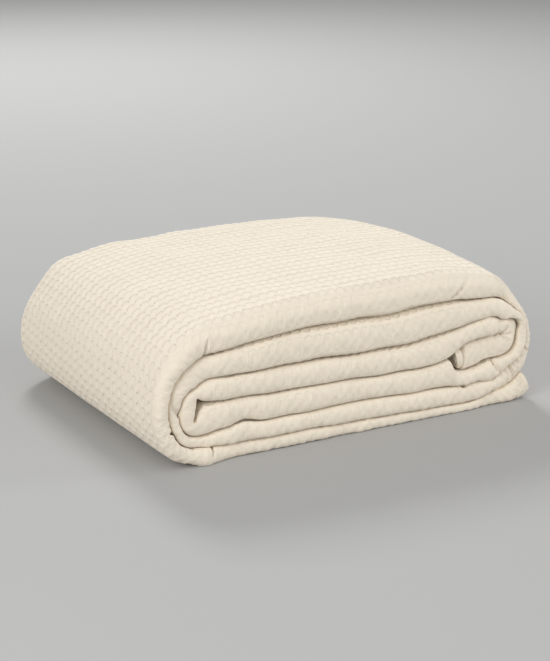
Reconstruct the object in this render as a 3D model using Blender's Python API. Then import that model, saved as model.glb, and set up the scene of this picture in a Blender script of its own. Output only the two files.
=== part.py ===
"""A waffle weave cotton blanket, folded in half three times along its length into a strip of
eight plies, then rolled flat into a block of six layers with a short tail in its heart.

The frame: +Z up, X along the front, where the strip's closed edge shows, and -Y to the front.
The origin is the middle of the block's box, on the surface that it lies on.

The roll is drawn as the faces between its layers, once at the front and once at the back.
The strip lies between two of those faces all the way round, from its tail to its free end.
Its eight plies are one sheet, whose folded section is drawn once and extruded along the strip.
"""

from collections import namedtuple
from math import cos, pi, radians, sin

import bmesh
import bpy
from mathutils import Vector

MM = 0.001

# Driving sizes
DEPTH = 285 * MM  # the strip's width, from front to back
TAIL_X = 100 * MM  # where the tail in the heart of the roll ends
APART = 1.0 * MM  # air between one layer of the roll and the next
PLIES = 8
PLY_SHARE = 0.82  # of the room that each ply has, the rest being air
NOSE_SHARE = 0.50  # how far the closed edge is rounded, of the layer's thickness
NOSE_FULLNESS = 0.72  # 1 is a round closed edge, and less is a squarer one
TURN_STEPS = 8
EASING_ROUNDS = 2  # of evening out what a run's row gives with its neighbours

CLOTH_COLOUR = (0.83, 0.75, 0.63, 1.0)
CLOTH_ROUGHNESS = 0.92
SHARP_ANGLE = radians(50)

# Heights in mm of the faces between the layers, at six places along the front. Layers are
# counted from the top, and the tail lies between the third and the fourth at the right.
Heights = namedtuple(
    "Heights", "x top one_two two_three under_three over_four four_five five_six floor"
)
FRONT_HEIGHTS = (
    Heights(-136, 116, 92, 71, 51, 48, 26, 13, 0),
    Heights(-60, 124, 97, 70, 49, 49, 27, 10, 0),
    Heights(10, 127, 99, 70, 48, 48, 26, 10, 0),
    Heights(86, 127, 102, 73, 48, 48, 24, 10, 0),
    Heights(100, 126, 102, 76, 54, 39, 24, 10, 0),
    Heights(142, 121, 97, 81, 63, 43, 24, 13, 0),
)
BACK_HEIGHTS = (
    Heights(-136, 112, 94, 76, 58, 55, 37, 18, 0),
    Heights(-60, 119, 100, 80, 61, 61, 40, 20, 0),
    Heights(10, 121, 101, 81, 61, 61, 41, 20, 0),
    Heights(86, 121, 100, 81, 61, 61, 39, 19, 0),
    Heights(100, 120, 100, 82, 67, 51, 34, 17, 0),
    Heights(142, 118, 99, 82, 67, 50, 34, 17, 0),
)

# Radii in mm of the faces where the strip turns back, from the heart of the turn to its skin.
# The first and last angles of a turn take their radii from the heights above.
Radii = namedtuple("Radii", "angle heart inner outer skin")
LEFT_FRONT = (Radii(135, 8, 23, 37, 58), Radii(180, 14, 29, 38, 54), Radii(225, 16, 32, 41, 56))
LEFT_BACK = (Radii(135, 5, 17, 30, 44), Radii(180, 6, 18, 31, 43), Radii(225, 6, 19, 35, 51))
RIGHT_FRONT = (Radii(-45, 1, 21, 32, 46), Radii(0, 1, 21, 31, 41), Radii(45, 1, 20, 30, 41))
RIGHT_BACK = (Radii(-45, 1, 16, 30, 46), Radii(0, 1, 15, 28, 41), Radii(45, 1, 16, 31, 47))

# The free end, which lies under the right turn: where it leaves the turn's skin, as an angle
# in degrees, over a place on its underside in mm
Tip = namedtuple("Tip", "angle x z")
TIP = (Tip(-76, 158, 0), Tip(-61, 172, 1), Tip(-47, 186, 4))

# The strip from its tail to its free end. A layer lies between two faces, the first of them
# towards the heart. Set back is how far its closed edge stands behind the front, and crown is
# how far its outer ply swells halfway to the back, in mm.
Run = namedtuple("Run", "name way near far set_back crown")
RUNS = (
    Run("tail", "right", "under_three", "over_four", 5, 0),
    Run("turn 1", "right turn", "heart", "inner", 4, 0),
    Run("layer 3", "left", "under_three", "two_three", 2, 0),
    Run("turn 2", "left turn", "heart", "inner", 3, 0),
    Run("layer 4", "right", "over_four", "four_five", 2, 0),
    Run("turn 3", "right turn", "inner", "outer", 1, 0),
    Run("layer 2", "left", "two_three", "one_two", 1, 0),
    Run("turn 4", "left turn", "inner", "outer", 7, 0),
    Run("layer 5", "right", "four_five", "five_six", 2, 0),
    Run("turn 5", "right turn", "outer", "skin", 6, 4),
    Run("layer 1", "left", "one_two", "top", 0, 4),
    Run("turn 6", "left turn", "outer", "skin", 0, 3),
    Run("layer 6", "right", "five_six", "floor", 2, 0),
    Run("free end", "tip", "skin", "floor", 3, 0),
)
BARE_FACES = ("top", "skin", "floor")  # they touch no other layer, so they keep no air

# The folds that the cloth runs through from one long hem to the other. Each goes from one ply
# to another, counted in plies from the strip's middle. A front fold is a closed edge, and set
# in is how far it stands inside the outermost one, in mm. A back fold's is from the back edge.
Fold = namedtuple("Fold", "edge start end set_in points")
FOLDS = (
    Fold("front", -1.5, 1.5, 1.0, 4),
    Fold("back", 1.5, 2.5, 4.0, 3),
    Fold("front", 2.5, -2.5, 0.5, 4),
    Fold("back", -2.5, -3.5, 3.0, 3),
    Fold("front", -3.5, 3.5, 0.0, 7),
    Fold("back", 3.5, 0.5, 0.0, 4),
    Fold("front", 0.5, -0.5, 2.0, 3),
)
OUTER_PLY = 3.5  # the ply that lies outermost in the roll, and has the crown
FIRST_HEM_IN = 6.0  # mm from the strip's back edge
LAST_HEM_IN = 9.0

# The faces that a turn's rings run into, above and below its centre
FACE_ABOVE = {"heart": "under_three", "inner": "two_three", "outer": "one_two", "skin": "top"}
FACE_BELOW = {
    "left turn": {
        "heart": "over_four",
        "inner": "four_five",
        "outer": "five_six",
        "skin": "floor",
    },
    "right turn": {
        "heart": "under_three",
        "inner": "over_four",
        "outer": "four_five",
        "skin": "five_six",
    },
}

Station = namedtuple("Station", "near_front far_front near_back far_back set_back crown")
SectionPoint = namedtuple("SectionPoint", "edge level reach set_in")


def clear_scene():
    for item in list(bpy.data.objects):
        bpy.data.objects.remove(item, do_unlink=True)


def smooth_between(places, values, place):
    """The value at a place, on a smooth curve through the given ones."""
    last = len(places) - 1
    low = max(i for i in range(last) if i == 0 or places[i] <= place)
    slopes = []
    for i in (low, low + 1):
        before, after = max(i - 1, 0), min(i + 1, last)
        slopes.append((values[after] - values[before]) / (places[after] - places[before]))
    width = places[low + 1] - places[low]
    t = (place - places[low]) / width
    rise = t * t * (3 - 2 * t)
    bend = t * (1 - t) * width
    height = values[low] * (1 - rise) + values[low + 1] * rise
    return height + bend * ((1 - t) * slopes[0] - t * slopes[1])


def face_points(heights, face):
    """The points of one face between layers, in metres, from left to right."""
    return [Vector((row.x, getattr(row, face))) * MM for row in heights]


def turn_centre(heights, way):
    """Where a turn's radii start: at the end of the face that its innermost layers share."""
    if way == "left turn":
        end = heights[0]
        return Vector((end.x, (end.under_three + end.over_four) / 2)) * MM
    end = heights[-1]
    return Vector((end.x, end.under_three)) * MM


def turn_point(heights, radii, way, ring, angle):
    """A point of one of a turn's faces, at an angle in radians."""
    centre = turn_centre(heights, way)
    end = heights[0] if way == "left turn" else heights[-1]
    above = getattr(end, FACE_ABOVE[ring]) * MM - centre.y
    below = centre.y - getattr(end, FACE_BELOW[way][ring]) * MM
    between = [getattr(row, ring) * MM for row in radii]
    angles = [radians(row.angle) for row in radii]
    if way == "left turn":
        places = [pi / 2, *angles, 3 * pi / 2]
        values = [above, *between, below]
    else:
        places = [-pi / 2, *angles, pi / 2]
        values = [below, *between, above]
    radius = smooth_between(places, values, angle)
    return centre + Vector((cos(angle), sin(angle))) * radius


def run_points(run, face, heights, radii):
    """The points along one face of a run, in the order in which the strip goes."""
    if run.way.endswith("turn"):
        start = pi / 2 if run.way == "left turn" else -pi / 2
        angles = [start + pi * step / TURN_STEPS for step in range(1, TURN_STEPS)]
        return [turn_point(heights, radii[run.way], run.way, face, a) for a in angles]
    if run.way == "tip":
        if face == "floor":
            return [Vector((row.x, row.z)) * MM for row in TIP]
        way = "right turn"
        return [turn_point(heights, radii[way], way, face, radians(row.angle)) for row in TIP]
    points = face_points(heights, face)
    if run.name == "tail":
        points = [point for point in points if point.x > TAIL_X - MM]
    return points if run.way == "right" else points[::-1]


def held_apart(near, far, run):
    """Moves a layer's two faces towards each other, by half of the air that they keep."""
    across = (far - near).normalized() * (APART / 2)
    near = near + across
    if run.far not in BARE_FACES:
        far = far - across
    return near, far


def stations():
    """Every place along the strip where its section is drawn, from the tail to the free end."""
    front = {"left turn": LEFT_FRONT, "right turn": RIGHT_FRONT}
    back = {"left turn": LEFT_BACK, "right turn": RIGHT_BACK}
    made = []
    for run in RUNS:
        sides = []
        for heights, radii in ((FRONT_HEIGHTS, front), (BACK_HEIGHTS, back)):
            near = run_points(run, run.near, heights, radii)
            far = run_points(run, run.far, heights, radii)
            sides.append([held_apart(n, f, run) for n, f in zip(near, far)])
        for (near_front, far_front), (near_back, far_back) in zip(*sides):
            ends = (near_front, far_front, near_back, far_back)
            made.append(Station(*ends, run.set_back * MM, run.crown * MM))
    return evened_out(made)


def evened_out(made):
    """The same stations, each taking a quarter of its set back and crown from either side."""
    for _ in range(EASING_ROUNDS):
        eased = [made[0]]
        for before, here, after in zip(made, made[1:], made[2:]):
            set_back = (before.set_back + 2 * here.set_back + after.set_back) / 4
            crown = (before.crown + 2 * here.crown + after.crown) / 4
            eased.append(here._replace(set_back=set_back, crown=crown))
        made = [*eased, made[-1]]
    return made


def folded_section():
    """The cloth's two surfaces from one long hem to the other, as a list of point pairs.

    The first surface is under the cloth's first ply, and over its second one after the fold.
    """
    half = PLY_SHARE / 2
    first = FOLDS[0].start
    last = FOLDS[-1].end
    pairs = [
        (
            SectionPoint("back", first - half, 0.0, FIRST_HEM_IN * MM),
            SectionPoint("back", first + half, 0.0, FIRST_HEM_IN * MM),
        )
    ]
    first_is_below = True
    for fold in FOLDS:
        centre = (fold.start + fold.end) / 2
        radius = abs(fold.end - fold.start) / 2
        upwards = fold.end > fold.start
        first_is_outside = first_is_below == upwards
        grow = half if first_is_outside else -half
        for step in range(fold.points):
            angle = -pi / 2 + pi * step / (fold.points - 1)
            pair = []
            for ring in (radius + grow, radius - grow):
                pair.append(fold_point(fold, centre, ring, angle if upwards else -angle))
            pairs.append(tuple(pair))
        first_is_below = not first_is_below
        if fold.end == OUTER_PLY:
            faces = (fold.end + half, fold.end - half)
            pairs.append(tuple(SectionPoint("middle", level, 0.0, 0.0) for level in faces))
    hems = (last + half, last - half)
    pairs.append(tuple(SectionPoint("back", hem, 0.0, LAST_HEM_IN * MM) for hem in hems))
    return pairs


def fold_point(fold, centre, ring, angle):
    """A point of a fold. Its reach is in ply widths, from the line where the fold begins."""
    rise, run = sin(angle), max(cos(angle), 0.0)
    if fold.edge == "front":
        rise = abs(rise) ** NOSE_FULLNESS * (1 if rise > 0 else -1)
        run = run**NOSE_FULLNESS
    return SectionPoint(fold.edge, centre + ring * rise, ring * run, fold.set_in * MM)


def place(station, point):
    """Where a point of the folded section lies, at one station along the strip.

    Its depth comes from its fold, and its height from the lines across the layer at the front
    and at the back, in the shares that its depth gives. Nothing goes below the floor.
    """
    outermost = OUTER_PLY + PLY_SHARE / 2
    width = (station.far_front - station.near_front).length / PLIES
    if point.edge == "front":
        nose = NOSE_SHARE * width * PLIES
        start = -DEPTH / 2 + station.set_back + nose + point.set_in
        y = start - point.reach / outermost * nose
    elif point.edge == "middle":
        y = 0.0
    else:
        width = (station.far_back - station.near_back).length / PLIES
        widest = max(abs(fold.end - fold.start) / 2 for fold in FOLDS if fold.edge == "back")
        start = DEPTH / 2 - (widest + PLY_SHARE / 2) * width - point.set_in
        y = start + point.reach * width
    to_back = y / DEPTH + 0.5
    share = point.level / (2 * outermost) + 0.5
    front = station.near_front.lerp(station.far_front, share)
    back = station.near_back.lerp(station.far_back, share)
    flat = front.lerp(back, to_back)
    if point.edge == "middle":
        flat += (station.far_front - station.near_front).normalized() * station.crown
    return Vector((flat.x, y, max(flat.y, 0.0)))


def blanket_mesh():
    """The folded section as a ribbon of faces, extruded from station to station."""
    section = folded_section()
    points = [point for pair in section for point in pair]
    route = stations()
    bm = bmesh.new()
    number = bm.verts.layers.int.new("section point")
    verts = []
    for index, point in enumerate(points):
        vert = bm.verts.new(place(route[0], point))
        vert[number] = index
        verts.append(vert)
    cap = []
    for i in range(0, len(verts) - 2, 2):
        cap.append(bm.faces.new((verts[i], verts[i + 1], verts[i + 3], verts[i + 2])))
    for station in route[1:]:
        grown = bmesh.ops.extrude_face_region(bm, geom=cap)["geom"]
        if station is not route[1]:
            bmesh.ops.delete(bm, geom=cap, context="FACES")
        cap = [item for item in grown if isinstance(item, bmesh.types.BMFace)]
        for item in grown:
            if isinstance(item, bmesh.types.BMVert):
                item.co = place(station, points[item[number]])
    bmesh.ops.recalc_face_normals(bm, faces=bm.faces)
    centre_on_floor(bm)
    mesh = bpy.data.meshes.new("blanket")
    bm.to_mesh(mesh)
    bm.free()
    return mesh


def centre_on_floor(bm):
    """Moves the block so that the origin is the middle of its box, on the floor."""
    xs = [vert.co.x for vert in bm.verts]
    ys = [vert.co.y for vert in bm.verts]
    zs = [vert.co.z for vert in bm.verts]
    middle = Vector(((min(xs) + max(xs)) / 2, (min(ys) + max(ys)) / 2, min(zs)))
    bmesh.ops.translate(bm, verts=bm.verts, vec=-middle)


def cloth_material():
    material = bpy.data.materials.new("cream cotton")
    material.use_nodes = True
    shader = material.node_tree.nodes["Principled BSDF"]
    shader.inputs["Base Color"].default_value = CLOTH_COLOUR
    shader.inputs["Roughness"].default_value = CLOTH_ROUGHNESS
    shader.inputs["Metallic"].default_value = 0.0
    return material


def build():
    clear_scene()
    mesh = blanket_mesh()
    mesh.materials.append(cloth_material())
    mesh.shade_smooth()
    mesh.set_sharp_from_angle(angle=SHARP_ANGLE)
    blanket = bpy.data.objects.new("blanket", mesh)
    bpy.context.collection.objects.link(blanket)


build()
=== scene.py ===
# %% [markdown]
# # A waffle weave blanket, folded and rolled
# The object is one square sheet of cream cotton, woven in small sunken squares. It was folded
# in half three times along its length, which makes a strip of eight plies, and the strip was
# rolled flat into a block. This lesson dresses the plain solid of that block as real cloth:
# the same roll, drawn with a point about every millimetre, so that each square of the weave
# is a true hollow. It starts by loading the solid, which stays hidden inside the cloth.

# %% Load the solid, and keep its box
from collections import namedtuple
from math import cos, pi, radians, sin

import bpy
import numpy as np
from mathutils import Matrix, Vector


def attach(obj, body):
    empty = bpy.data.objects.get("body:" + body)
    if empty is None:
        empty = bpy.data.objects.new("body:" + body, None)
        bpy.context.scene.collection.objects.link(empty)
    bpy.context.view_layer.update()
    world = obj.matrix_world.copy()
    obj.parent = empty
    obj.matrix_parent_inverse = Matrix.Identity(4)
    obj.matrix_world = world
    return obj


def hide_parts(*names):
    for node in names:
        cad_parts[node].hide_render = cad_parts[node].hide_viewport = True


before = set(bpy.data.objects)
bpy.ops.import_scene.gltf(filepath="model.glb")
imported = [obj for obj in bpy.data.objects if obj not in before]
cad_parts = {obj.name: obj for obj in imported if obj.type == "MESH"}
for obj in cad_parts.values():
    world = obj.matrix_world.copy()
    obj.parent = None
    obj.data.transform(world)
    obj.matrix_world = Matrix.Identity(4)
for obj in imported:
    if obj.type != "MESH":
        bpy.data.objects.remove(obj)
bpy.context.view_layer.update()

MM = 0.001

# %% [markdown]
# ## The camera
# The photograph looks a little down on the block, from its front left. A long lens keeps the
# lines nearly parallel, so the camera stands well back. It could be tracked to an empty, but
# a direction and a distance from one aim point are easier to fit to a picture.

# %% The camera
LOOK_ROUND = radians(-31.06)  # from the front, towards the left
LOOK_DOWN = radians(16.09)
CAMERA_AWAY = 1.6293
CAMERA_AIM = Vector((0.0041, 0.0002, 0.0547))
LENS_MM = 100

backwards = Vector(
    (sin(LOOK_ROUND) * cos(LOOK_DOWN), -cos(LOOK_ROUND) * cos(LOOK_DOWN), sin(LOOK_DOWN))
)
camera = bpy.data.objects.new("camera", bpy.data.cameras.new("camera"))
camera.data.lens = LENS_MM
camera.location = CAMERA_AIM + backwards * CAMERA_AWAY
camera.rotation_euler = backwards.to_track_quat("Z", "Y").to_euler()
bpy.context.collection.objects.link(camera)
bpy.context.scene.camera = camera
print("camera at", [round(place, 3) for place in camera.location])

# %% [markdown]
# ## Floor and light
# A plain pale floor and a broad, soft sky are enough. The real light falls from behind, and a
# little from the right, so the top is brightest and the front is darker. Three weaker lights
# keep the sides and the gaps between the layers from going black. Area lights are aimed the
# same way as the camera, and their size softens the shadows.

# %% The floor
FLOOR_SIDE = 40.0
FLOOR_GREY = (0.44, 0.44, 0.435, 1.0)
FLOOR_ROUGHNESS = 0.9

bpy.ops.mesh.primitive_plane_add(size=FLOOR_SIDE)
floor = bpy.context.object
floor.name = "floor"
floor_finish = bpy.data.materials.new("pale floor")
floor_finish.use_nodes = True
floor_shader = floor_finish.node_tree.nodes["Principled BSDF"]
floor_shader.inputs["Base Color"].default_value = FLOOR_GREY
floor_shader.inputs["Roughness"].default_value = FLOOR_ROUGHNESS
floor.data.materials.append(floor_finish)
print("a floor,", FLOOR_SIDE, "m wide")

# %% The lights
Light = namedtuple("Light", "name place size watts")
LIGHTS = (
    Light("behind, right", (0.7, 2.5, 1.95), 0.95, 51),
    Light("right", (1.9, -0.9, 0.7), 1.0, 13),
    Light("front", (0.5, -2.1, 0.9), 1.4, 9),
    Light("front, left", (-1.8, -0.9, 1.0), 1.2, 23),
)
WHITE = (1.0, 1.0, 1.0)
SKY_STRENGTH = 0.45

for light in LIGHTS:
    lamp = bpy.data.lights.new(light.name, "AREA")
    lamp.shape = "DISK"
    lamp.size = light.size
    lamp.energy = light.watts
    lamp.color = WHITE
    holder = bpy.data.objects.new(light.name, lamp)
    holder.location = light.place
    holder.rotation_euler = Vector(light.place).to_track_quat("Z", "Y").to_euler()
    bpy.context.collection.objects.link(holder)

sky = bpy.data.worlds.new("sky")
sky.use_nodes = True
sky.node_tree.nodes["Background"].inputs["Color"].default_value = (*WHITE, 1.0)
sky.node_tree.nodes["Background"].inputs["Strength"].default_value = SKY_STRENGTH
bpy.context.scene.world = sky
bpy.context.scene.view_settings.view_transform = "Standard"
print(len(LIGHTS), "lights and a sky")

# %% [markdown]
# ## The roll, as a table
# The strip is wound from a short tail in the heart, round and round, to a free end under the
# right side. What a person sees from the front is the set of lines between its layers, so
# those lines are the table: their heights at fourteen places, once at the front and once at
# the back, and their radii where the strip turns back. The solid was drawn from nearly the
# same numbers. The lines could be drawn as curves, but numbers are easier to set against a
# picture, one line at a time.

# %% Sizes of the strip
DEPTH = 285 * MM  # from front to back
TAIL_X = 100 * MM
TAIL_LEAN = 4 * MM  # its upper face starts before the lower one
APART = 0.7 * MM  # air between one layer and the next
PLIES = 8
PLY_SHARE = 0.82  # of the room that each ply has, the rest being air
TURN_STEPS = 16
OUTERMOST = (PLIES - 1 + PLY_SHARE) / 2  # the outer face, in plies from the strip's middle
MIDDLE = np.array((-1.35, -0.17, 0.0)) * MM  # of the block, in the tables' own places

# %% Heights between the layers, in mm, at places along the front
Heights = namedtuple(
    "Heights", "x top one_two two_three under_three over_four four_five five_six floor"
)
HEIGHTS = {
    "front": (
        Heights(-136, 116, 89.5, 69.4, 50.2, 49.2, 24.2, 13, 0),
        Heights(-123, 117.5, 91.3, 69, 49.7, 49.1, 26, 12.4, 0),
        Heights(-110, 119, 93.3, 68.8, 49.3, 48.8, 30.4, 12, 0),
        Heights(-90, 121.5, 95.6, 69, 48.7, 48.4, 26.9, 11.6, 0),
        Heights(-60, 124, 97.2, 69, 48.4, 48.4, 26.6, 11.6, 0),
        Heights(10, 127, 97.5, 68.5, 46.5, 46.5, 26.5, 9.7, 0),
        Heights(40, 127, 97.8, 68.2, 45.4, 45.4, 26, 9.2, 0),
        Heights(64, 127, 99.3, 69.8, 45.2, 45.2, 25.2, 8.7, 0),
        Heights(86, 127, 100.9, 71.8, 47.3, 47.3, 24.5, 8.2, 0),
        Heights(94, 126.5, 100.8, 73.5, 49.7, 48.7, 24.3, 7.7, 0),
        Heights(100, 126, 100.6, 74.2, 54, 39, 24.2, 7.2, 0),
        Heights(108, 125, 99.2, 76.5, 58, 36.4, 23.5, 6.6, 0),
        Heights(122, 122.5, 98.5, 79.4, 62, 36.8, 24.6, 7.5, 0),
        Heights(142, 117, 96.8, 79.5, 65, 41.8, 23.8, 12.2, 0),
    ),
    "back": (
        Heights(-136, 109.5, 93, 76, 58, 55, 37, 18, 0),
        Heights(-123, 112.5, 95, 77, 59, 57, 37.5, 18.5, 0),
        Heights(-110, 115, 97, 78, 60, 58.5, 38, 19, 0),
        Heights(-90, 117.5, 98.5, 79, 60.5, 60, 39, 19.5, 0),
        Heights(-60, 118.5, 100, 80, 61, 61, 40, 20, 0),
        Heights(10, 120.5, 101, 81, 61, 61, 41, 20, 0),
        Heights(40, 120.5, 101, 81, 61, 61, 40, 19.5, 0),
        Heights(64, 120.3, 100.5, 81, 61, 61, 39.5, 19.2, 0),
        Heights(86, 120, 100, 81, 61, 61, 39, 19, 0),
        Heights(94, 119.5, 100, 81, 63, 58, 37, 18, 0),
        Heights(100, 119, 100, 82, 67, 51, 34, 17, 0),
        Heights(108, 118.5, 100, 82, 67, 51, 34, 17, 0),
        Heights(122, 117, 99.5, 82, 67, 50, 34, 17, 0),
        Heights(142, 115, 98.5, 82, 67, 50, 34, 17, 0),
    ),
}

# %% Radii of the turns, in mm, from the heart of a turn to its skin
Radii = namedtuple("Radii", "angle heart inner outer skin")
RADII = {
    ("front", "left turn"): (
        Radii(135, 8, 21.8, 41, 58),
        Radii(158, 12, 27, 41.5, 55.5),
        Radii(180, 16, 30.5, 42, 54),
        Radii(205, 20, 33.8, 42, 55),
        Radii(225, 20, 33, 42, 56),
        Radii(248, 19, 29, 37.7, 50.6),
    ),
    ("back", "left turn"): (
        Radii(135, 5, 17, 28.5, 39.5),
        Radii(180, 6, 18, 31, 43),
        Radii(225, 6, 19, 36, 53),
    ),
    ("front", "right turn"): (
        Radii(-65, 1, 23.5, 33.2, 52.5),
        Radii(-45, 1, 25, 34.3, 49),
        Radii(-3, 1, 24, 33, 37.6),
        Radii(20, 1, 25, 30.8, 34.4),
        Radii(57, 1, 14, 27.6, 35.3),
    ),
    ("back", "right turn"): (
        Radii(-45, 1, 16, 30, 47),
        Radii(0, 1, 15, 28, 41),
        Radii(45, 1, 16, 30.5, 43.5),
    ),
}
POLES = {  # the points that the radii start from, x and z in mm
    ("front", "left turn"): (-136, 49.5),
    ("back", "left turn"): (-136, 56.5),
    ("front", "right turn"): (142, 65),
    ("back", "right turn"): (142, 67),
}

# %% Two lines given point by point: under the free end, and round the hollow in the heart of the left turn
Tip = namedtuple("Tip", "angle x z")  # on the right turn's skin, and the place under it
TIP = (Tip(-76, 160, 0), Tip(-66, 169, 0.5), Tip(-58, 177, 3), Tip(-52, 182, 8))
HOLLOW = (
    (-138, 50.2), (-141, 50.4), (-144, 50.9), (-146, 51.6), (-148.3, 52.8),
    (-150.6, 53.9), (-151.3, 50), (-152, 45.5), (-153, 41), (-154.2, 36),
    (-151.8, 37.5), (-150.2, 41.2), (-148.8, 44.5), (-146.3, 47.8), (-142, 48.9),
)

# %% The runs of the strip, from its tail to its free end, set back and crown in mm
Run = namedtuple("Run", "name way near far set_back crown")
RUNS = (
    Run("tail", "right", "under_three", "over_four", 5, 0),
    Run("turn 1", "right turn", "heart", "inner", 4, 0),
    Run("layer 3", "left", "under_three", "two_three", 2, 0),
    Run("turn 2", "left turn", "heart", "inner", 3, 0),
    Run("layer 4", "right", "over_four", "four_five", 2, 0),
    Run("turn 3", "right turn", "inner", "outer", 1, 0),
    Run("layer 2", "left", "two_three", "one_two", 1, 0),
    Run("turn 4", "left turn", "inner", "outer", 3, 0),
    Run("layer 5", "right", "four_five", "five_six", 2, 0),
    Run("turn 5", "right turn", "outer", "skin", 6, 13),
    Run("layer 1", "left", "one_two", "top", 0, 4),
    Run("turn 6", "left turn", "outer", "skin", 0, 1),
    Run("layer 6", "right", "five_six", "floor", 4, 0),
    Run("free end", "tip", "skin", "floor", 3, 0),
)
BARE_FACES = ("top", "skin", "floor")  # with no other layer against them
FACE_ABOVE = {"heart": "under_three", "inner": "two_three", "outer": "one_two", "skin": "top"}
FACE_BELOW = {
    "left turn": {
        "heart": "over_four",
        "inner": "four_five",
        "outer": "five_six",
        "skin": "floor",
    },
    "right turn": {
        "heart": "under_three",
        "inner": "over_four",
        "outer": "four_five",
        "skin": "five_six",
    },
}

# %% [markdown]
# ## Stations along the strip
# A station is one place along the strip, where it lies between two faces: the near one,
# towards the heart of the roll, and the far one. Straight runs take their faces from the
# heights. Turns take them from the radii, which run smoothly into the heights at both ends.


# %% One face of one run
def smooth_between(places, values, place):
    """The value at a place, on a smooth curve through the given ones."""
    last = len(places) - 1
    low = max(i for i in range(last) if i == 0 or places[i] <= place)
    slopes = []
    for i in (low, low + 1):
        before, after = max(i - 1, 0), min(i + 1, last)
        slopes.append((values[after] - values[before]) / (places[after] - places[before]))
    width = places[low + 1] - places[low]
    t = (place - places[low]) / width
    rise = t * t * (3 - 2 * t)
    bend = t * (1 - t) * width
    height = values[low] * (1 - rise) + values[low + 1] * rise
    return height + bend * ((1 - t) * slopes[0] - t * slopes[1])


def turn_point(side, way, ring, angle):
    """A point of one of a turn's faces, in mm, at an angle in radians."""
    left = way == "left turn"
    end = HEIGHTS[side][0 if left else -1]
    pole_x, pole_z = POLES[side, way]
    above = getattr(end, FACE_ABOVE[ring]) - pole_z
    below = pole_z - getattr(end, FACE_BELOW[way][ring])
    rows = RADII[side, way]
    between = [getattr(row, ring) for row in rows]
    angles = [radians(row.angle) for row in rows]
    start = pi / 2 if left else -pi / 2
    ends = (above, below) if left else (below, above)
    radius = smooth_between([start, *angles, start + pi], [ends[0], *between, ends[1]], angle)
    return np.array((pole_x + cos(angle) * radius, pole_z + sin(angle) * radius))


def run_points(side, run, face):
    """The points along one face of a run, in metres, in the order in which the strip goes."""
    if (side, run.name, face) == ("front", "turn 2", "heart"):
        return [np.array(point) * MM for point in HOLLOW]
    if run.way.endswith("turn"):
        start = pi / 2 if run.way == "left turn" else -pi / 2
        angles = [start + pi * step / TURN_STEPS for step in range(1, TURN_STEPS)]
        return [turn_point(side, run.way, face, angle) * MM for angle in angles]
    if run.way == "tip" and face == "floor":
        return [np.array((row.x, row.z)) * MM for row in TIP]
    if run.way == "tip":
        return [turn_point(side, "right turn", face, radians(row.angle)) * MM for row in TIP]
    points = [np.array((row.x, getattr(row, face))) * MM for row in HEIGHTS[side]]
    if run.name == "tail":
        points = [point for point in points if point[0] > TAIL_X - MM]
        points[0][0] += TAIL_LEAN * (side == "front" and face == "over_four")
    return points if run.way == "right" else points[::-1]


# %% All the stations, one row each
FACE_COLUMNS = (0, 2, 4, 6)  # where the x and z of each face start in a station's row
SET_BACK, CROWN = 8, 9  # the columns of its other two numbers
SOFTENINGS = 2  # so that these two change gently from one run to the next


def held_apart(near, far, run):
    """Moves a layer's two faces towards each other, by half of the air that they keep."""
    across = (far - near) / np.linalg.norm(far - near) * APART / 2
    return near + across, far - across * (run.far not in BARE_FACES)


station_rows = []
run_starts = {}
for run in RUNS:
    run_starts[run.name] = len(station_rows)
    faces = []
    for side in ("front", "back"):
        near = run_points(side, run, run.near)
        far = run_points(side, run, run.far)
        faces.append([np.concatenate(held_apart(n, f, run)) for n, f in zip(near, far)])
    for front, back in zip(*faces):
        station_rows.append([*front, *back, run.set_back * MM, run.crown * MM])
stations = np.array(station_rows)
softened = stations[:, SET_BACK:]
for _ in range(SOFTENINGS):
    softened[1:-1] = (softened[:-2] + 2 * softened[1:-1] + softened[2:]) / 4
print(len(stations), "stations along the strip")

# %% [markdown]
# ## A smooth strip through the stations
# About 180 stations are enough for a solid, but cloth this close needs a row of points every
# millimetre. Each number of a station is carried along a smooth curve through its
# neighbours, which bends evenly and still passes through every station.

# %% The strip at any distance
middles = sum(stations[:, i : i + 2] for i in FACE_COLUMNS) / len(FACE_COLUMNS)
spans = np.linalg.norm(np.diff(middles, axis=0), axis=1)
station_at = np.concatenate([[0], np.cumsum(spans)])
chords = np.diff(stations, axis=0) / spans[:, None]
weight = (spans[:-1] / (spans[:-1] + spans[1:]))[:, None]
inner_slopes = chords[:-1] * (1 - weight) + chords[1:] * weight
station_slopes = np.concatenate([chords[:1], inner_slopes, chords[-1:]])

Strip = namedtuple("Strip", "near_front far_front near_back far_back set_back crown at")


def half_thickness(strip):
    """Half of the strip's thickness at its front edge."""
    return np.linalg.norm(strip.far_front - strip.near_front, axis=-1) / 2


def ply_thickness(strip):
    """The room that each ply has at the back edge."""
    return np.linalg.norm(strip.far_back - strip.near_back, axis=-1) / PLIES


def strip_at(distance):
    """The strip's faces, set back and crown at any distances along its middle."""
    low = np.clip(np.searchsorted(station_at, distance) - 1, 0, len(spans) - 1)
    width = spans[low][:, None]
    t = (distance - station_at[low])[:, None] / width
    rows = stations[low] * (1 + 2 * t) * (1 - t) ** 2 + stations[low + 1] * t**2 * (3 - 2 * t)
    rows += width * t * (1 - t) * (station_slopes[low] * (1 - t) - station_slopes[low + 1] * t)
    faces = [rows[:, None, i : i + 2] for i in FACE_COLUMNS]
    return Strip(*faces, rows[:, [SET_BACK]], rows[:, [CROWN]], distance[:, None])


print("strip, m:", round(station_at[-1], 3))

# %% [markdown]
# ## From the flat cloth to the roll
# Any point of the cloth is named by two lengths, as on a cutting table: how far along the
# strip, and how far across from the crest of the closed front edge. Going outwards from the
# crest the cloth rounds the edge, crosses the whole depth and turns in at the back. Measuring
# along the cloth keeps every square of the weave its true size, however thin the layer is.


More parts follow.
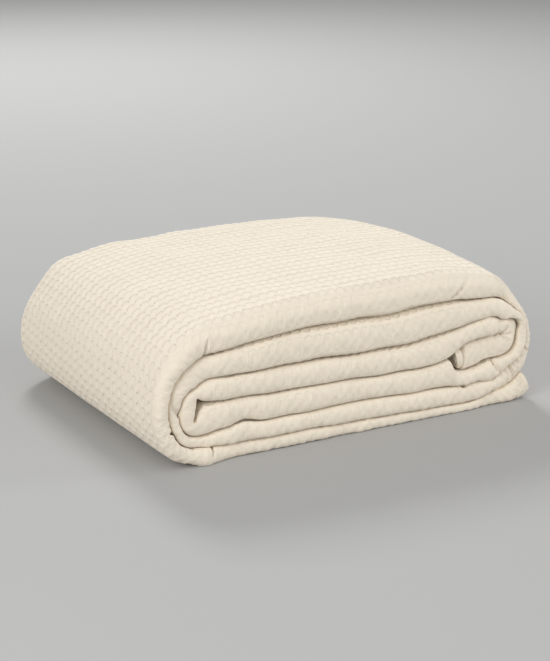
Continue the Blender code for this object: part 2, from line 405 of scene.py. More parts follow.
# %% Slow waves, for anything that is a little uneven
Wave = namedtuple("Wave", "along across turn")
WAVES = (
    Wave(1.00, 0.37, 0.0),
    Wave(-0.61, 1.13, 1.9),
    Wave(1.71, 1.39, 4.1),
    Wave(2.33, -1.87, 2.6),
)


def slow_waves(along, across, length, shift=0.0):
    """An even mixture of long waves, between -1 and 1, that repeats nowhere near."""
    total = 0.0
    for wave in WAVES:
        place = (along * wave.along + across * wave.across) / length
        total = total + np.sin(2 * pi * place + wave.turn + shift)
    return total / len(WAVES)


# %% A place in the strip
EDGE_WANDER = 1.3 * MM  # how far each layer's edges stand out or in, at the most
FRONT_WAVES = {"across": 0.0, "length": 85 * MM}
BACK_WAVES = {"across": 0.3, "length": 70 * MM, "shift": 2.0}
SETTLING = 1.0 * MM  # how far the whole pile dips or rises, at the most
SETTLING_LENGTH = 120 * MM
SETTLING_FROM = 30 * MM  # above the floor, and less and less below that


def settled(points):
    """The same points, a little higher or lower together, and still on the floor."""
    x, y, z = points[..., 0], points[..., 1], points[..., 2]
    above_floor = np.clip(z / SETTLING_FROM, 0, 1)
    # the waves lean, so that they don't run in line with the block's sides
    dip = SETTLING * slow_waves(x + 0.5 * y, 1.4 * z + 0.6 * y, SETTLING_LENGTH) * above_floor
    return np.stack([x, y, z + dip], axis=-1)


def on_strip(strip, level, y):
    """Points at levels in the strip's thickness, in plies from its middle, and depths y."""
    share = level / (2 * OUTERMOST) + 0.5
    to_back = y / DEPTH + 0.5
    front = strip.near_front + (strip.far_front - strip.near_front) * share[..., None]
    back = strip.near_back + (strip.far_back - strip.near_back) * share[..., None]
    flat = front + (back - front) * to_back[..., None]
    outwards = strip.far_front - strip.near_front
    outwards = outwards / np.linalg.norm(outwards, axis=-1, keepdims=True)
    swell = strip.crown * (1 - (2 * y / DEPTH) ** 2) * np.clip(level / OUTERMOST, 0, 1)
    flat = flat + outwards * swell[..., None]
    at_front = slow_waves(strip.at, **FRONT_WAVES) * (1 - to_back)
    at_back = slow_waves(strip.at, **BACK_WAVES) * to_back
    depth = y + EDGE_WANDER * (at_front + at_back)
    return settled(np.stack([flat[..., 0], depth, flat[..., 1]], axis=-1))


# %% How the closed edge is rounded, from its crest to a flat face
Rounding = namedtuple("Rounding", "length rise run")
PRESSED_FULLNESS = 0.62  # between two layers
LOOSE_FULLNESS = 1.0  # where nothing lies over the edge
ROUNDING_POINTS = 400


def rounding(fullness):
    """A quarter of a closed edge, in half thicknesses: 1 is round, and less is squarer."""
    angle = np.linspace(0, pi / 2, ROUNDING_POINTS)
    rise = np.sin(angle) ** fullness
    run = np.clip(np.cos(angle), 0, 1) ** fullness
    steps = np.hypot(np.diff(rise), np.diff(run))
    return Rounding(np.concatenate([[0], np.cumsum(steps)]), rise, run)


PRESSED_EDGE = rounding(PRESSED_FULLNESS)
LOOSE_EDGE = rounding(LOOSE_FULLNESS)
print("a quarter round, in half thicknesses:", round(LOOSE_EDGE.length[-1], 2))

# %% The face of the cloth that shows
BackFold = namedtuple("BackFold", "centre radius set_in")  # centre and radius in plies
OUTER_BACK = BackFold(2.0, 1.5 + PLY_SHARE / 2, 0 * MM)
INNER_BACK = BackFold(-3.0, 0.5 + PLY_SHARE / 2, 3 * MM)
LOOSE_FROM = station_at[run_starts["turn 5"]]
LOOSE_TO = station_at[run_starts["layer 6"] - TURN_STEPS // 3]  # a third of a turn before it
LOOSENING = 30 * MM  # the length of strip over which it changes


def smooth_step(low, high, value):
    """0 up to the low value, 1 from the high one, and a smooth slope between them."""
    share = np.clip((value - low) / (high - low), 0, 1)
    return share * share * (3 - 2 * share)


def looseness(strip):
    """1 where the strip's far face is free, 0 inside the roll, and half way on the floor."""
    begins = smooth_step(LOOSE_FROM - LOOSENING, LOOSE_FROM, strip.at)
    ends = smooth_step(LOOSE_TO, LOOSE_TO + LOOSENING, strip.at)
    return begins - 0.5 * ends


def front_path(strip, across, edge):
    """Levels and depths at distances across, round the closed edge and on to the back."""
    half = half_thickness(strip)
    rounded = np.abs(across) / half
    level = np.sign(across) * OUTERMOST * np.interp(rounded, edge.length, edge.rise)
    run = np.interp(rounded, edge.length, edge.run)
    beyond = np.maximum(rounded - edge.length[-1], 0)
    return level, -DEPTH / 2 + strip.set_back + half * (1 - run + beyond)


def face_path(strip, across):
    """Levels and depths of the face that shows, at distances across from its front crest."""
    level, y = front_path(strip, across, PRESSED_EDGE)
    loose_level, loose_y = front_path(strip, across, LOOSE_EDGE)
    outside = across > 0
    loose = looseness(strip) * outside
    level = level + (loose_level - level) * loose
    y = y + (loose_y - y) * loose
    ply = ply_thickness(strip)
    centre = np.where(outside, OUTER_BACK.centre, INNER_BACK.centre)
    radius = np.where(outside, OUTER_BACK.radius, INNER_BACK.radius)
    set_in = np.where(outside, OUTER_BACK.set_in, INNER_BACK.set_in)
    turn_y = DEPTH / 2 - OUTER_BACK.radius * ply - set_in
    past = y - turn_y
    angle = np.clip(past / (radius * ply), 0, pi)
    inwards = np.maximum(past - pi * radius * ply, 0)
    folded = centre + np.where(outside, radius, -radius) * np.cos(angle)
    level = np.where(past > 0, folded, level)
    y = np.where(past > 0, turn_y + radius * ply * np.sin(angle) - inwards, y)
    return level, y


# %% [markdown]
# ## Rows and columns
# Each square of the weave gets eight rows and ten columns of points, which is enough for its
# rim and its floor. Rows are spaced along the outer face where that face shows, on the top and
# round both sides, and along the middle of the strip inside the roll, because a turn's outer
# face is longer than its middle and would stretch the squares.

# %% The weave's own sizes, and the rows
CELL_ALONG = 8.8 * MM
CELL_ACROSS = 11 * MM
ROWS_A_CELL = 8
COLUMNS_A_CELL = 10
ROW = CELL_ALONG / ROWS_A_CELL
COLUMN = CELL_ACROSS / COLUMNS_A_CELL
MEASURED_PLACES = 8000  # along the strip, to measure its length and space the rows by it

dense = np.linspace(0, station_at[-1], MEASURED_PLACES)
shows = (dense >= station_at[run_starts["turn 5"]]) & (dense <= station_at[run_starts["layer 6"]])
at_level = np.where(shows, OUTERMOST, 0.0)[:, None]
line = on_strip(strip_at(dense), at_level, np.zeros_like(at_level))[:, 0]
line_steps = np.linalg.norm(np.diff(line, axis=0), axis=1)
jumps = np.flatnonzero(np.diff(shows.astype(int)))
line_steps[jumps] = line_steps[jumps - 1]
cloth_along = np.concatenate([[0], np.cumsum(line_steps)])
row_count = int(cloth_along[-1] / ROW)
row_at = np.interp(np.arange(row_count + 1) * ROW, cloth_along, dense)


def row_of(run_name):
    """The first row of a run."""
    return int(np.searchsorted(row_at, station_at[run_starts[run_name]]))


print("cloth, m:", round(cloth_along[-1], 3), "in", row_count, "rows")

# %% [markdown]
# ## The weave
# Waffle cloth is woven so that threads float over one another and pull up into ridges, with
# a sunken square between them. A displacement texture could do it, but a formula in the
# cloth's own lengths keeps the squares in step with the cloth. Each one is a rounded hollow
# with a sloping rim, as long as it is wide, and a little deeper or shallower than its
# neighbours, as threads are. The ridges are twice as wide one way as the other.

# %% The hollows of the weave
PIT_ALONG = 0.39  # half the hollow, as a share of its cell
PIT_ACROSS = 0.31
PIT_ROUNDNESS = 2.4  # 2 is an ellipse, and more is squarer
PIT_DEPTH = 0.85 * MM
RIM = 0.34  # how much of the hollow's half width its sloping rim takes
PRESSED_DEPTH = 0.35  # of the depth, where layers press on each other
CREST_DEPTH = 0.25  # and on the crest of the closed edge, where the cloth is stretched
PRESSED_FROM = 0.7  # of the way from the strip's middle to its face, where it starts to press
CREST_FROM, CREST_TO = 4 * MM, 14 * MM  # how far from the crest the hollows fade in
SKEW = 0.06  # how far the cross threads lean, as a share of their length
THREAD_WANDER = 1.2 * MM
WANDER_ALONG, WANDER_ACROSS = 110 * MM, 130 * MM  # the lengths of the waves that they wander in
UNEVEN = 0.25  # how much of its depth one hollow may have more or less than another
SCATTER_ALONG, SCATTER_ACROSS = 12.9898, 78.233  # odd steps, so that no pattern shows


def woven_lengths(along, across):
    """The lengths along and across, as the threads run, which lean and wander a little."""
    sideways = THREAD_WANDER * slow_waves(along, across, WANDER_ALONG)
    lengthways = THREAD_WANDER * slow_waves(across, along, WANDER_ACROSS, 1.0)
    return along + SKEW * across + sideways, across + lengthways


def weave_depth(along, across):
    """How far the face lies under its ridges, in metres."""
    u = np.abs(along / CELL_ALONG % 1 - 0.5) / PIT_ALONG
    v = np.abs(across / CELL_ACROSS % 1 - 0.5) / PIT_ACROSS
    out = (u**PIT_ROUNDNESS + v**PIT_ROUNDNESS) ** (1 / PIT_ROUNDNESS)
    sunk = smooth_step(-1 - RIM / 2, -1 + RIM / 2, -out)
    column, row = np.floor(along / CELL_ALONG), np.floor(across / CELL_ACROSS)
    uneven = 1 + UNEVEN * np.sin(column * SCATTER_ALONG + row * SCATTER_ACROSS)
    return PIT_DEPTH * sunk * uneven


def pressing(strip, level, across):
    """What is left of the weave's depth, on the faces that lie against another layer."""
    open_side = looseness(strip) * (across > 0)
    pressed = smooth_step(PRESSED_FROM, 1.0, np.abs(level) / OUTERMOST) * (1 - open_side)
    return 1 - (1 - PRESSED_DEPTH) * pressed


# %% [markdown]
# ## Creases
# A blanket folded by hand keeps small creases, most of them where one layer turns under
# another and its cloth has no room. They could be sculpted, but then they would be lost with
# each change to the roll. So each is a line in the cloth's own lengths, pressed in as a soft
# trough that is deepest at its first end and fades towards the other. A depth below zero makes
# a swell instead, and there is one, in front of the left turn.

# %% The creases, in mm along the strip and across it
Crease = namedtuple("Crease", "along across to_along to_across width depth")
CREASES = (
    Crease(1882, -13, 1876, 0, 1.4, 3.6),  # where the top layer ends at the left
    Crease(1874, -14, 1868, -14, 1.5, 1.4),
    Crease(1683, -13, 1664, -14.5, 1.8, 3.4),  # the widest place of the gap under the top
    Crease(1639, -11, 1629, -2, 1.5, 3.2),  # a fold across the top layer's edge
    Crease(1629, -2, 1618, 9, 1.8, 1.8),
    Crease(342, 14, 333, 13, 1.7, 2.2),  # under the second layer
    Crease(322, 14, 316, 14, 1.5, 1.6),
    Crease(180, 15, 188, 9, 1.0, 1.0),  # three ribs at the same place, further right
    Crease(171, 15, 179, 9, 1.0, 1.0),
    Crease(163, 15, 170, 9.5, 1.0, 0.9),
    Crease(1158, -14, 1184, -14, 3.0, 2.2),  # under the bump of the fourth layer
    Crease(2034, -12, 2031, -1, 1.4, 5.0),  # round the left turn
    Crease(1976, -14, 1972, -4, 1.6, 4.5),
    Crease(2004, -15, 2008, -11, 2.0, 3.4),
    Crease(1091, -6, 1082, 4, 1.4, 3.6),
    Crease(6.0, -11, 9.3, 1, 1.3, 5.0),  # behind the lip of the tail
    Crease(6.0, 11, 9.3, 2, 1.3, 5.0),
    Crease(24, -13, 25, -8, 1.0, 1.0),  # two ribs on the tail
    Crease(31, -13, 32, -9, 1.0, 1.0),
    Crease(56, -11, 60.5, 0, 1.2, 5.5),  # the pinch in the heart of the right turn
    Crease(56, -11, 56, 3, 1.2, 5.5),
    Crease(55.5, -10, 51.5, 2.5, 1.2, 5.0),
    Crease(54, -9, 48, -3, 0.9, 1.2),
    Crease(681, -14, 682, -7, 1.5, 5.0),  # round the right turn
    Crease(682, -7, 687, 5, 1.5, 3.6),
    Crease(1441, -8, 1440, 6, 2.0, 2.8),
    Crease(1382, -13, 1382, -8, 2.0, 4.2),
    Crease(730, -14, 729, -8, 2.5, 3.0),
    Crease(1480, -6, 1474, 4, 1.3, 2.6),
    Crease(2342, -15.5, 2332, -3, 0.9, 0.8),  # the ribs at the free end
    Crease(2346, -13, 2338, -1, 0.9, 0.8),
    Crease(2348, -9, 2343, 1, 0.9, 0.8),
    Crease(2026, 5, 2044, 6, 12, -2.6),  # the swell in front of the left turn
)
CREASE_FADE = 0.6  # how much of its depth a crease loses by its far end
CREASE_REACH = 3  # in widths, past which nothing is left of it


def creased(along, across):
    """How far the creases sink the face, in metres."""
    depth = np.zeros(np.broadcast_shapes(along.shape, across.shape))
    for crease in CREASES:
        start_along, start_across, end_along, end_across = np.array(crease[:4]) * MM
        reach = CREASE_REACH * crease.width * MM
        after_start = along[:, 0] > min(start_along, end_along) - reach
        before_end = along[:, 0] < max(start_along, end_along) + reach
        rows = after_start & before_end
        if not rows.any():
            continue
        way_along, way_across = end_along - start_along, end_across - start_across
        from_along, from_across = along[rows] - start_along, across[rows] - start_across
        share = (from_along * way_along + from_across * way_across) / (way_along**2 + way_across**2)
        share = np.clip(share, 0, 1)
        away = np.hypot(from_along - share * way_along, from_across - share * way_across)
        strength = crease.depth * MM * (1 - CREASE_FADE * share)
        depth[rows] += strength * np.exp(-((away / (crease.width * MM)) ** 2))
    return depth


print(len(CREASES), "creases")

# %% [markdown]
# ## Making a piece of the cloth
# A piece is a grid: its rows run along the strip and its columns across it. The face is laid
# on the roll first, and then sunk along its own normals. Normals are measured on a grid one
# point larger than the piece, and kept as custom normals, so that two pieces that share a row
# of points are shaded as one cloth and the cut between them can't be seen.


# %% A grid of points on the cloth
RIPPLE = 0.5 * MM  # how far the closed edge wavers in and out, along each layer
RIPPLE_LENGTH = 19 * MM
NEVER_ZERO = 1e-12  # keeps a division going where a grid has no area


def grid_normals(points):
    """The normals of a grid of points, from its lines both ways."""
    along = np.gradient(points, axis=0)
    across = np.gradient(points, axis=1)
    normals = np.cross(across, along)
    lengths = np.linalg.norm(normals, axis=-1, keepdims=True)
    return normals / np.maximum(lengths, NEVER_ZERO)


def cloth_points(rows, columns, woven=True):
    """The points of the face that shows, with the lengths of their threads."""
    strip = strip_at(row_at[rows])
    along = (rows * ROW)[:, None]
    across = columns[None, :] * COLUMN + np.zeros((len(rows), 1))
    level, y = face_path(strip, across)
    points = on_strip(strip, level, y)
    threads = woven_lengths(along, across)
    if woven:
        crest = 1 - smooth_step(CREST_FROM, CREST_TO, np.abs(across))
        depth = weave_depth(*threads) * pressing(strip, level, across)
        depth = depth * (1 - (1 - CREST_DEPTH) * crest)
        depth = depth + RIPPLE * crest * slow_waves(*threads, RIPPLE_LENGTH)
        depth = depth + creased(along, across)
        points = points - grid_normals(points) * depth[..., None]
    points[..., 2] = np.maximum(points[..., 2], 0)
    return points, np.stack(threads, axis=-1)


# %% A grid of points as a mesh
def grid_mesh(name, points, normals, lengths):
    """A mesh of quads, with the cloth's own lengths in metres as its first UV map."""
    rows, columns = points.shape[:2]
    corner = np.arange(rows * columns).reshape(rows, columns)
    quads = [corner[:-1, :-1], corner[:-1, 1:], corner[1:, 1:], corner[1:, :-1]]
    quads = np.stack(quads, axis=-1).reshape(-1, 4)
    mesh = bpy.data.meshes.new(name)
    mesh.from_pydata((points.reshape(-1, 3) - MIDDLE).tolist(), [], quads.tolist())
    cloth_map = mesh.uv_layers.new(name="cloth")
    cloth_map.data.foreach_set("uv", lengths.reshape(-1, 2)[quads.ravel()].ravel())
    mesh.shade_smooth()
    if normals is not None:
        mesh.normals_split_custom_set_from_vertices(normals.reshape(-1, 3).tolist())
    return mesh


def dress(name, mesh, flat, finish):
    """The mesh as a piece of the blanket's cloth, on the root body, with its size when flat
    printed.
    """
    piece = bpy.data.objects.new(name, mesh)
    piece.data.materials.append(finish)
    bpy.context.collection.objects.link(piece)
    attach(piece, "root")
    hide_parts("blanket")
    print(name, round(flat[0], 3), "by", round(flat[1], 3), "m,", len(mesh.polygons), "faces")
    return piece


def cloth_piece(name, rows, columns, finish, every=(1, 1), woven=True):
    """A piece of the cloth over ranges of rows and columns, as an object on the roll."""
    wide_rows = np.arange(rows[0] - every[0], rows[1] + every[0] + 1, every[0])
    wide_rows = wide_rows[(wide_rows >= 0) & (wide_rows <= row_count)]
    wide_columns = np.arange(columns[0] - every[1], columns[1] + every[1] + 1, every[1])
    points, threads = cloth_points(wide_rows, wide_columns, woven)
    normals = grid_normals(points)
    in_rows = (wide_rows >= rows[0]) & (wide_rows <= rows[1])
    in_columns = (wide_columns >= columns[0]) & (wide_columns <= columns[1])
    keep = np.ix_(in_rows, in_columns)
    mesh = grid_mesh(name, points[keep], normals[keep], threads[keep])
    flat = ((columns[1] - columns[0]) * COLUMN, (rows[1] - rows[0]) * ROW)
    return dress(name, mesh, flat, finish)


# %% [markdown]
# ## The cotton
# Cream cotton is matt, with a faint glow of loose fibre at its edges, which sheen gives. The
# yarn is too fine for points of the mesh, so it is bump. Three layers of it are laid over one
# another: the sharp rims of the hollows, the stretched threads of the closed edge, and the
# yarn with its fibre. Every one is drawn in the cloth's own lengths, so it stays on the cloth.

# %% A node with its inputs
def node(tree, kind, sources=None, numbers=None, **settings):
    """A new node, with inputs that are linked to sources and inputs that hold numbers."""
    made = tree.nodes.new(kind)
    for key, value in settings.items():
        setattr(made, key, value)
    for key, source in (sources or {}).items():
        tree.links.new(source, made.inputs[key])
    for key, number in (numbers or {}).items():
        made.inputs[key].default_value = number
    return made


def noise(tree, place, scale, detail):
    """An uneven value between 0 and 1 over the cloth."""
    numbers = {"Scale": scale, "Detail": detail}
    made = node(tree, "ShaderNodeTexNoise", {"Vector": place}, numbers, noise_dimensions="2D")
    return made.outputs["Fac"]


def smooth_change(tree, source, from_values, to_values):
    """A smooth change between two values, while a source goes from one value to another."""
    numbers = {"From Min": from_values[0], "From Max": from_values[1]}
    numbers.update({"To Min": to_values[0], "To Max": to_values[1]})
    kind = "ShaderNodeMapRange"
    made = node(tree, kind, {"Value": source}, numbers, interpolation_type="SMOOTHSTEP")
    return made.outputs[0]


# %% [markdown]
# ## The rims of the hollows
# The mesh has a point about every millimetre, so its rims are a little blunt. The same formula
# as the mesh's, with a narrower rim, sharpens them. An image of the weave would do it too, but
# a formula needs no file and can't drift away from the hollows that it belongs to.

# %% The rims, as a value over the cloth
THREAD_RIM = 0.16  # the sloping rim of a hollow, as the threads at its very edge have it
THREAD_DEPTH = 0.5 * MM


def raised(tree, source, power):
    """A value raised to a power."""
    made = node(tree, "ShaderNodeMath", {0: source}, {1: power}, operation="POWER")
    return made.outputs[0]


def hollows(tree, place):
    """1 in the hollows of the weave and 0 on its ridges, with a rim sharper than the mesh's."""
    steps = (
        ("MULTIPLY", {1: (1 / CELL_ALONG, 1 / CELL_ACROSS, 0)}),  # counted in cells
        ("FRACTION", {}),  # within one cell
        ("SUBTRACT", {1: (0.5, 0.5, 0)}),  # from the cell's middle
        ("MULTIPLY", {1: (1 / PIT_ALONG, 1 / PIT_ACROSS, 0)}),  # in halves of the hollow
        ("ABSOLUTE", {}),
    )
    for operation, numbers in steps:
        made = node(tree, "ShaderNodeVectorMath", {0: place}, numbers, operation=operation)
        place = made.outputs[0]
    parts = node(tree, "ShaderNodeSeparateXYZ", {0: place})
    powers = {i: raised(tree, parts.outputs[i], PIT_ROUNDNESS) for i in (0, 1)}
    total = node(tree, "ShaderNodeMath", powers, operation="ADD")
    out = raised(tree, total.outputs[0], 1 / PIT_ROUNDNESS)
    return smooth_change(tree, out, (1 - THREAD_RIM / 2, 1 + THREAD_RIM / 2), (1.0, 0.0))


# %% [markdown]
# ## The closed edge
# Where the folded strip's edge is stretched over all its plies, the hollows are pulled nearly
# flat, and fine lines run round the edge instead. Both are mixed by the distance from the
# crest, as the mesh's hollows are.

# %% The stretched threads, and where they are
STREAK_WIDTH, STREAK_LENGTH = 2.4 * MM, 12 * MM
STREAK_DEPTH = 0.8 * MM
STREAKS_AT_CREST = 0.8  # of their full strength, and none away from the crest
RIMS_AT_CREST = 0.15  # of their full strength, and all of it away from the crest


def from_crest(tree, place, at_crest, away):
    """One value on the crest of the closed edge, and another away from it."""
    lengths = node(tree, "ShaderNodeSeparateXYZ", {0: place})
    across = node(tree, "ShaderNodeMath", {0: lengths.outputs["Y"]}, operation="ABSOLUTE")
    return smooth_change(tree, across.outputs[0], (CREST_FROM, CREST_TO), (at_crest, away))


def streaks(tree, place):
    """Fine, uneven lines round the closed edge, as stretched threads make."""
    numbers = {1: (1 / STREAK_WIDTH, 1 / STREAK_LENGTH, 0)}
    stretched = node(tree, "ShaderNodeVectorMath", {0: place}, numbers, operation="MULTIPLY")
    return noise(tree, stretched.outputs[0], scale=1.0, detail=1.0)


# %% [markdown]
# ## The yarn and the colour
# Ribs along and across stand for the yarn, with a soft noise for its fibre. The colour drifts
# a little over the cloth between two creams, as undyed cotton does.

# %% The yarn, as a value over the cloth
YARN = 1.1 * MM
YARN_DEPTH = 0.25 * MM
YARN_STRENGTH = 0.35
RIB_SCALE = 2 * pi / (20 * YARN)  # a wave texture repeats every 2 pi / 20 at a scale of 1
RIB_WANDER = 1.5
FIBRE_SCALE = 900.0


def yarn(tree, place):
    """Ribs both ways, the higher of them on top, with the noise of loose fibre."""
    numbers = {"Scale": RIB_SCALE, "Distortion": RIB_WANDER, "Detail": 1.0}
    ribs = {}
    for i, way in enumerate(("X", "Y")):
        rib = node(tree, "ShaderNodeTexWave", {"Vector": place}, numbers, bands_direction=way)
        ribs[i] = rib.outputs["Fac"]
    woven = node(tree, "ShaderNodeMath", ribs, operation="MAXIMUM")
    both = {0: woven.outputs[0], 1: noise(tree, place, scale=FIBRE_SCALE, detail=2.0)}
    return node(tree, "ShaderNodeMath", both, operation="ADD").outputs[0]


# %% The cloth's finish
COTTON = (0.835, 0.75, 0.615, 1.0)
COTTON_PALE = (0.875, 0.785, 0.65, 1.0)
DRIFT_SCALE = 14.0
ROUGHNESS = 0.9
SPECULAR = 0.2  # less than a hard surface has, because loose fibre scatters the light
SHEEN, SHEEN_ROUGHNESS = 0.25, 0.5
MIX_COLOURS, MIXED_COLOUR = (6, 7), 2  # the places of a Mix node's colours among its sockets


def cotton_finish(name):
    """Matt cream cotton, with its drifting colour and its three layers of bump."""
    finish = bpy.data.materials.new(name)
    finish.use_nodes = True
    tree = finish.node_tree
    shader = tree.nodes["Principled BSDF"]
    shader.inputs["Roughness"].default_value = ROUGHNESS
    shader.inputs["Specular IOR Level"].default_value = SPECULAR
    shader.inputs["Sheen Weight"].default_value = SHEEN
    shader.inputs["Sheen Roughness"].default_value = SHEEN_ROUGHNESS
    place = node(tree, "ShaderNodeUVMap", uv_map="cloth").outputs["UV"]
    drift = {"Factor": noise(tree, place, scale=DRIFT_SCALE, detail=3.0)}
    creams = dict(zip(MIX_COLOURS, (COTTON, COTTON_PALE)))
    mixed = node(tree, "ShaderNodeMix", drift, creams, data_type="RGBA")
    tree.links.new(mixed.outputs[MIXED_COLOUR], shader.inputs["Base Color"])
    sources = {"Height": hollows(tree, place)}
    sources["Strength"] = from_crest(tree, place, RIMS_AT_CREST, 1.0)
    rims = node(tree, "ShaderNodeBump", sources, {"Distance": THREAD_DEPTH}, invert=True)
    sources = {"Height": streaks(tree, place), "Normal": rims.outputs["Normal"]}
    sources["Strength"] = from_crest(tree, place, STREAKS_AT_CREST, 0.0)
    edge = node(tree, "ShaderNodeBump", sources, {"Distance": STREAK_DEPTH})
    sources = {"Height": yarn(tree, place), "Normal": edge.outputs["Normal"]}
    numbers = {"Strength": YARN_STRENGTH, "Distance": YARN_DEPTH}
    fine = node(tree, "ShaderNodeBump", sources, numbers)
    tree.links.new(fine.outputs["Normal"], shader.inputs["Normal"])
    return finish


cotton = cotton_finish("cream cotton")
print("cotton:", len(cotton.node_tree.nodes), "nodes")

# %% [markdown]
# ## The pieces
# One grid over the whole blanket would be far too heavy, and most of it would never be seen.
# So the cloth is cut where nothing shows, or along a row: the outer turn in two halves with
# every point, then the closed edge and the back edge of the rest, and coarse sheets for the
# faces that lie between layers.

# %% The outer turn, in two halves
EDGE = 27  # columns that the closed edge takes on either side of its crest
BACK_FROM, BACK_TO = 251, 290  # columns between which the big fold at the back lies
SMALL_FROM, SMALL_TO = -275, -251  # and the small one, on the other side
COARSE = 8  # rows or columns to one step of the sheets that don't show

outer_start, outer_end = row_of("turn 5"), row_of("layer 6")
outer_middle = (outer_start + outer_end) // 2
cloth_piece("outer_turn_right", (outer_start, outer_middle), (-EDGE, BACK_TO), cotton)
cloth_piece("outer_turn_left", (outer_middle, outer_end), (-EDGE, BACK_TO), cotton)

# %% The closed edge and the back fold of the inner layers, and of the layer on the floor
cloth_piece("closed_edge", (0, outer_start), (-EDGE, EDGE), cotton)
cloth_piece("closed_edge_below", (outer_end, row_count), (-EDGE, EDGE), cotton)
cloth_piece("back_fold", (0, outer_start), (BACK_FROM, BACK_TO), cotton)
cloth_piece("back_fold_below", (outer_end, row_count), (BACK_FROM, BACK_TO), cotton)
cloth_piece("small_fold", (0, row_count), (SMALL_FROM, SMALL_TO), cotton, every=(2, 1))

# %% The faces that lie between layers
between = (COARSE, COARSE)
cloth_piece("between_far", (0, outer_start), (EDGE, BACK_FROM), cotton, between, False)
cloth_piece("between_near", (0, row_count), (SMALL_TO, -EDGE), cotton, between, False)
cloth_piece("underside", (outer_end, row_count), (EDGE, BACK_FROM), cotton, between, False)

# %% [markdown]
# ## Hems and ends
# The square's two long hems lie at the back, between the big fold and the small one. At the
# tail and at the free end the whole fold stops, so the ends of all eight plies show, with air
# between them. Both need cloth with a thickness, so these pieces have two sides. A Solidify
# modifier would give the same, but the plies' thickness follows the layers' and isn't even.

# %% The fold across the strip, ply by ply
Fold = namedtuple("Fold", "edge start end set_in")  # from ply to ply, and set in, in mm
FOLDS = (
    Fold("front", -1.5, 1.5, 1.0),
    Fold("back", 1.5, 2.5, 4.0),
    Fold("front", 2.5, -2.5, 0.5),
    Fold("back", -2.5, -3.5, 3.0),
    Fold("front", -3.5, 3.5, 0.0),
    Fold("back", 3.5, 0.5, 0.0),
    Fold("front", 0.5, -0.5, 2.0),
)
LongHem = namedtuple("LongHem", "level set_in")
LONG_HEMS = (LongHem(-1.5, 6.0 * MM), LongHem(-0.5, 9.0 * MM))
HALF_PLY = PLY_SHARE / 2
FOLD_POINTS = 11  # round each of the folds


def fold_path(side):
    """The line of one side of the cloth, as rows of place, level, reach and set in.

    The place is -1 at the front, 1 at the back and 0 half way. Side 1 is the outer side of the
    first fold, and -1 its inner side.
    """
    hem = LONG_HEMS[0]
    path = [(1, hem.level - side * HALF_PLY, 0, hem.set_in)]
    outside = side
    for fold in FOLDS:
        centre, radius = (fold.start + fold.end) / 2, abs(fold.end - fold.start) / 2
        upwards = 1 if fold.end > fold.start else -1
        at_front = fold.edge == "front"
        fullness = PRESSED_FULLNESS if at_front else LOOSE_FULLNESS
        outside = side * (1 if at_front == (upwards > 0) else -1)
        for angle in np.linspace(-pi / 2, pi / 2, FOLD_POINTS):
            rise = np.sign(angle) * abs(sin(angle)) ** fullness * upwards
            reach = max(cos(angle), 0.0) ** fullness
            ring = radius + outside * HALF_PLY
            place = -1 if at_front else 1
            path.append((place, centre + ring * rise, ring * reach, fold.set_in * MM))
        path.append((0, fold.end + outside * upwards * HALF_PLY, 0, 0))
    hem = LONG_HEMS[1]
    path[-1] = (1, hem.level + outside * upwards * HALF_PLY, 0, hem.set_in)
    return np.array(path)


def path_points(strip, path, shrink):
    """The points of a line across the strip, a little inside its outer face."""
    place, level, reach, set_in = (path[None, :, i] for i in range(4))
    level = level * shrink
    reach = reach * shrink
    half = half_thickness(strip)
    ply = ply_thickness(strip)
    front = -DEPTH / 2 + strip.set_back + half + set_in - reach / OUTERMOST * half
    back = DEPTH / 2 - OUTER_BACK.radius * ply - set_in + reach * ply
    y = np.where(place < 0, front, np.where(place > 0, back, 0.0))
    return on_strip(strip, level, y)


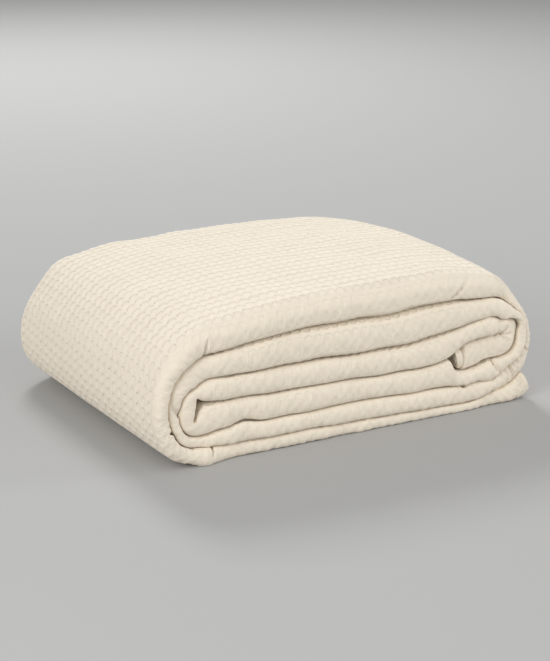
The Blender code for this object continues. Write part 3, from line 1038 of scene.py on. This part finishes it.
# %% The two ends of the strip
END_ROWS = 6
END_SHRINK = 0.97  # keeps the plies' ends inside the face that shows
END_STEPS = 2 * MM, 10 * MM  # what a step along and a step across count for in the finish
TAIL_HEM, FREE_HEM = 5 * MM, 14 * MM
OVER_FLOOR = 0.1 * MM


def end_piece(name, row, inwards, hem):
    """The ends of all the plies at one end of the strip, with the start of their two sides."""
    strip = strip_at(row_at[row] + inwards * np.linspace(0, hem, END_ROWS))
    outer, inner = (path_points(strip, fold_path(side), END_SHRINK) for side in (1, -1))
    points = np.concatenate([outer[::-1], inner], axis=0)
    points[..., 2] = np.maximum(points[..., 2], OVER_FLOOR)
    steps = np.indices(points.shape[:2])
    lengths = np.stack([steps[0] * END_STEPS[0], steps[1] * END_STEPS[1]], axis=-1)
    mesh = grid_mesh(name, points, None, lengths)
    size = np.linalg.norm(np.diff(points[0], axis=0), axis=1).sum()
    return dress(name, mesh, (float(size), 2 * hem), cotton)


end_piece("tail_end", 0, 1, TAIL_HEM)
end_piece("free_end", row_count, -1, FREE_HEM)

# %% The long hems at the back
HEM_WIDTH = 12 * MM
HEM_EVERY = 4  # rows to one step along the hem
HEM_POINTS = 7  # round its edge


def hem_piece(name, hem):
    """A turned edge of one ply, along the whole strip."""
    rows = np.arange(0, row_count + 1, HEM_EVERY)
    strip = strip_at(row_at[rows])
    ply = ply_thickness(strip)
    edge_y = DEPTH / 2 - OUTER_BACK.radius * ply - hem.set_in
    angles = np.linspace(-pi / 2, pi / 2, HEM_POINTS)[None, :]
    level = hem.level + HALF_PLY * np.sin(angles) + 0 * ply
    y = edge_y + HALF_PLY * ply * np.cos(angles)
    first, last = (hem.level + side * HALF_PLY + 0 * ply for side in (-1, 1))
    level = np.concatenate([first, level, last], axis=1)
    y = np.concatenate([edge_y - HEM_WIDTH, y, edge_y - HEM_WIDTH], axis=1)
    points = on_strip(strip, level, y)
    across = np.linspace(0, 2 * HEM_WIDTH, points.shape[1])
    lengths = np.stack(np.meshgrid(rows * ROW, across, indexing="ij"), axis=-1)
    mesh = grid_mesh(name, points, None, lengths)
    return dress(name, mesh, (2 * HEM_WIDTH, row_count * ROW), cotton)


for number, hem in enumerate(LONG_HEMS, start=1):
    hem_piece(f"long_hem_{number}", hem)
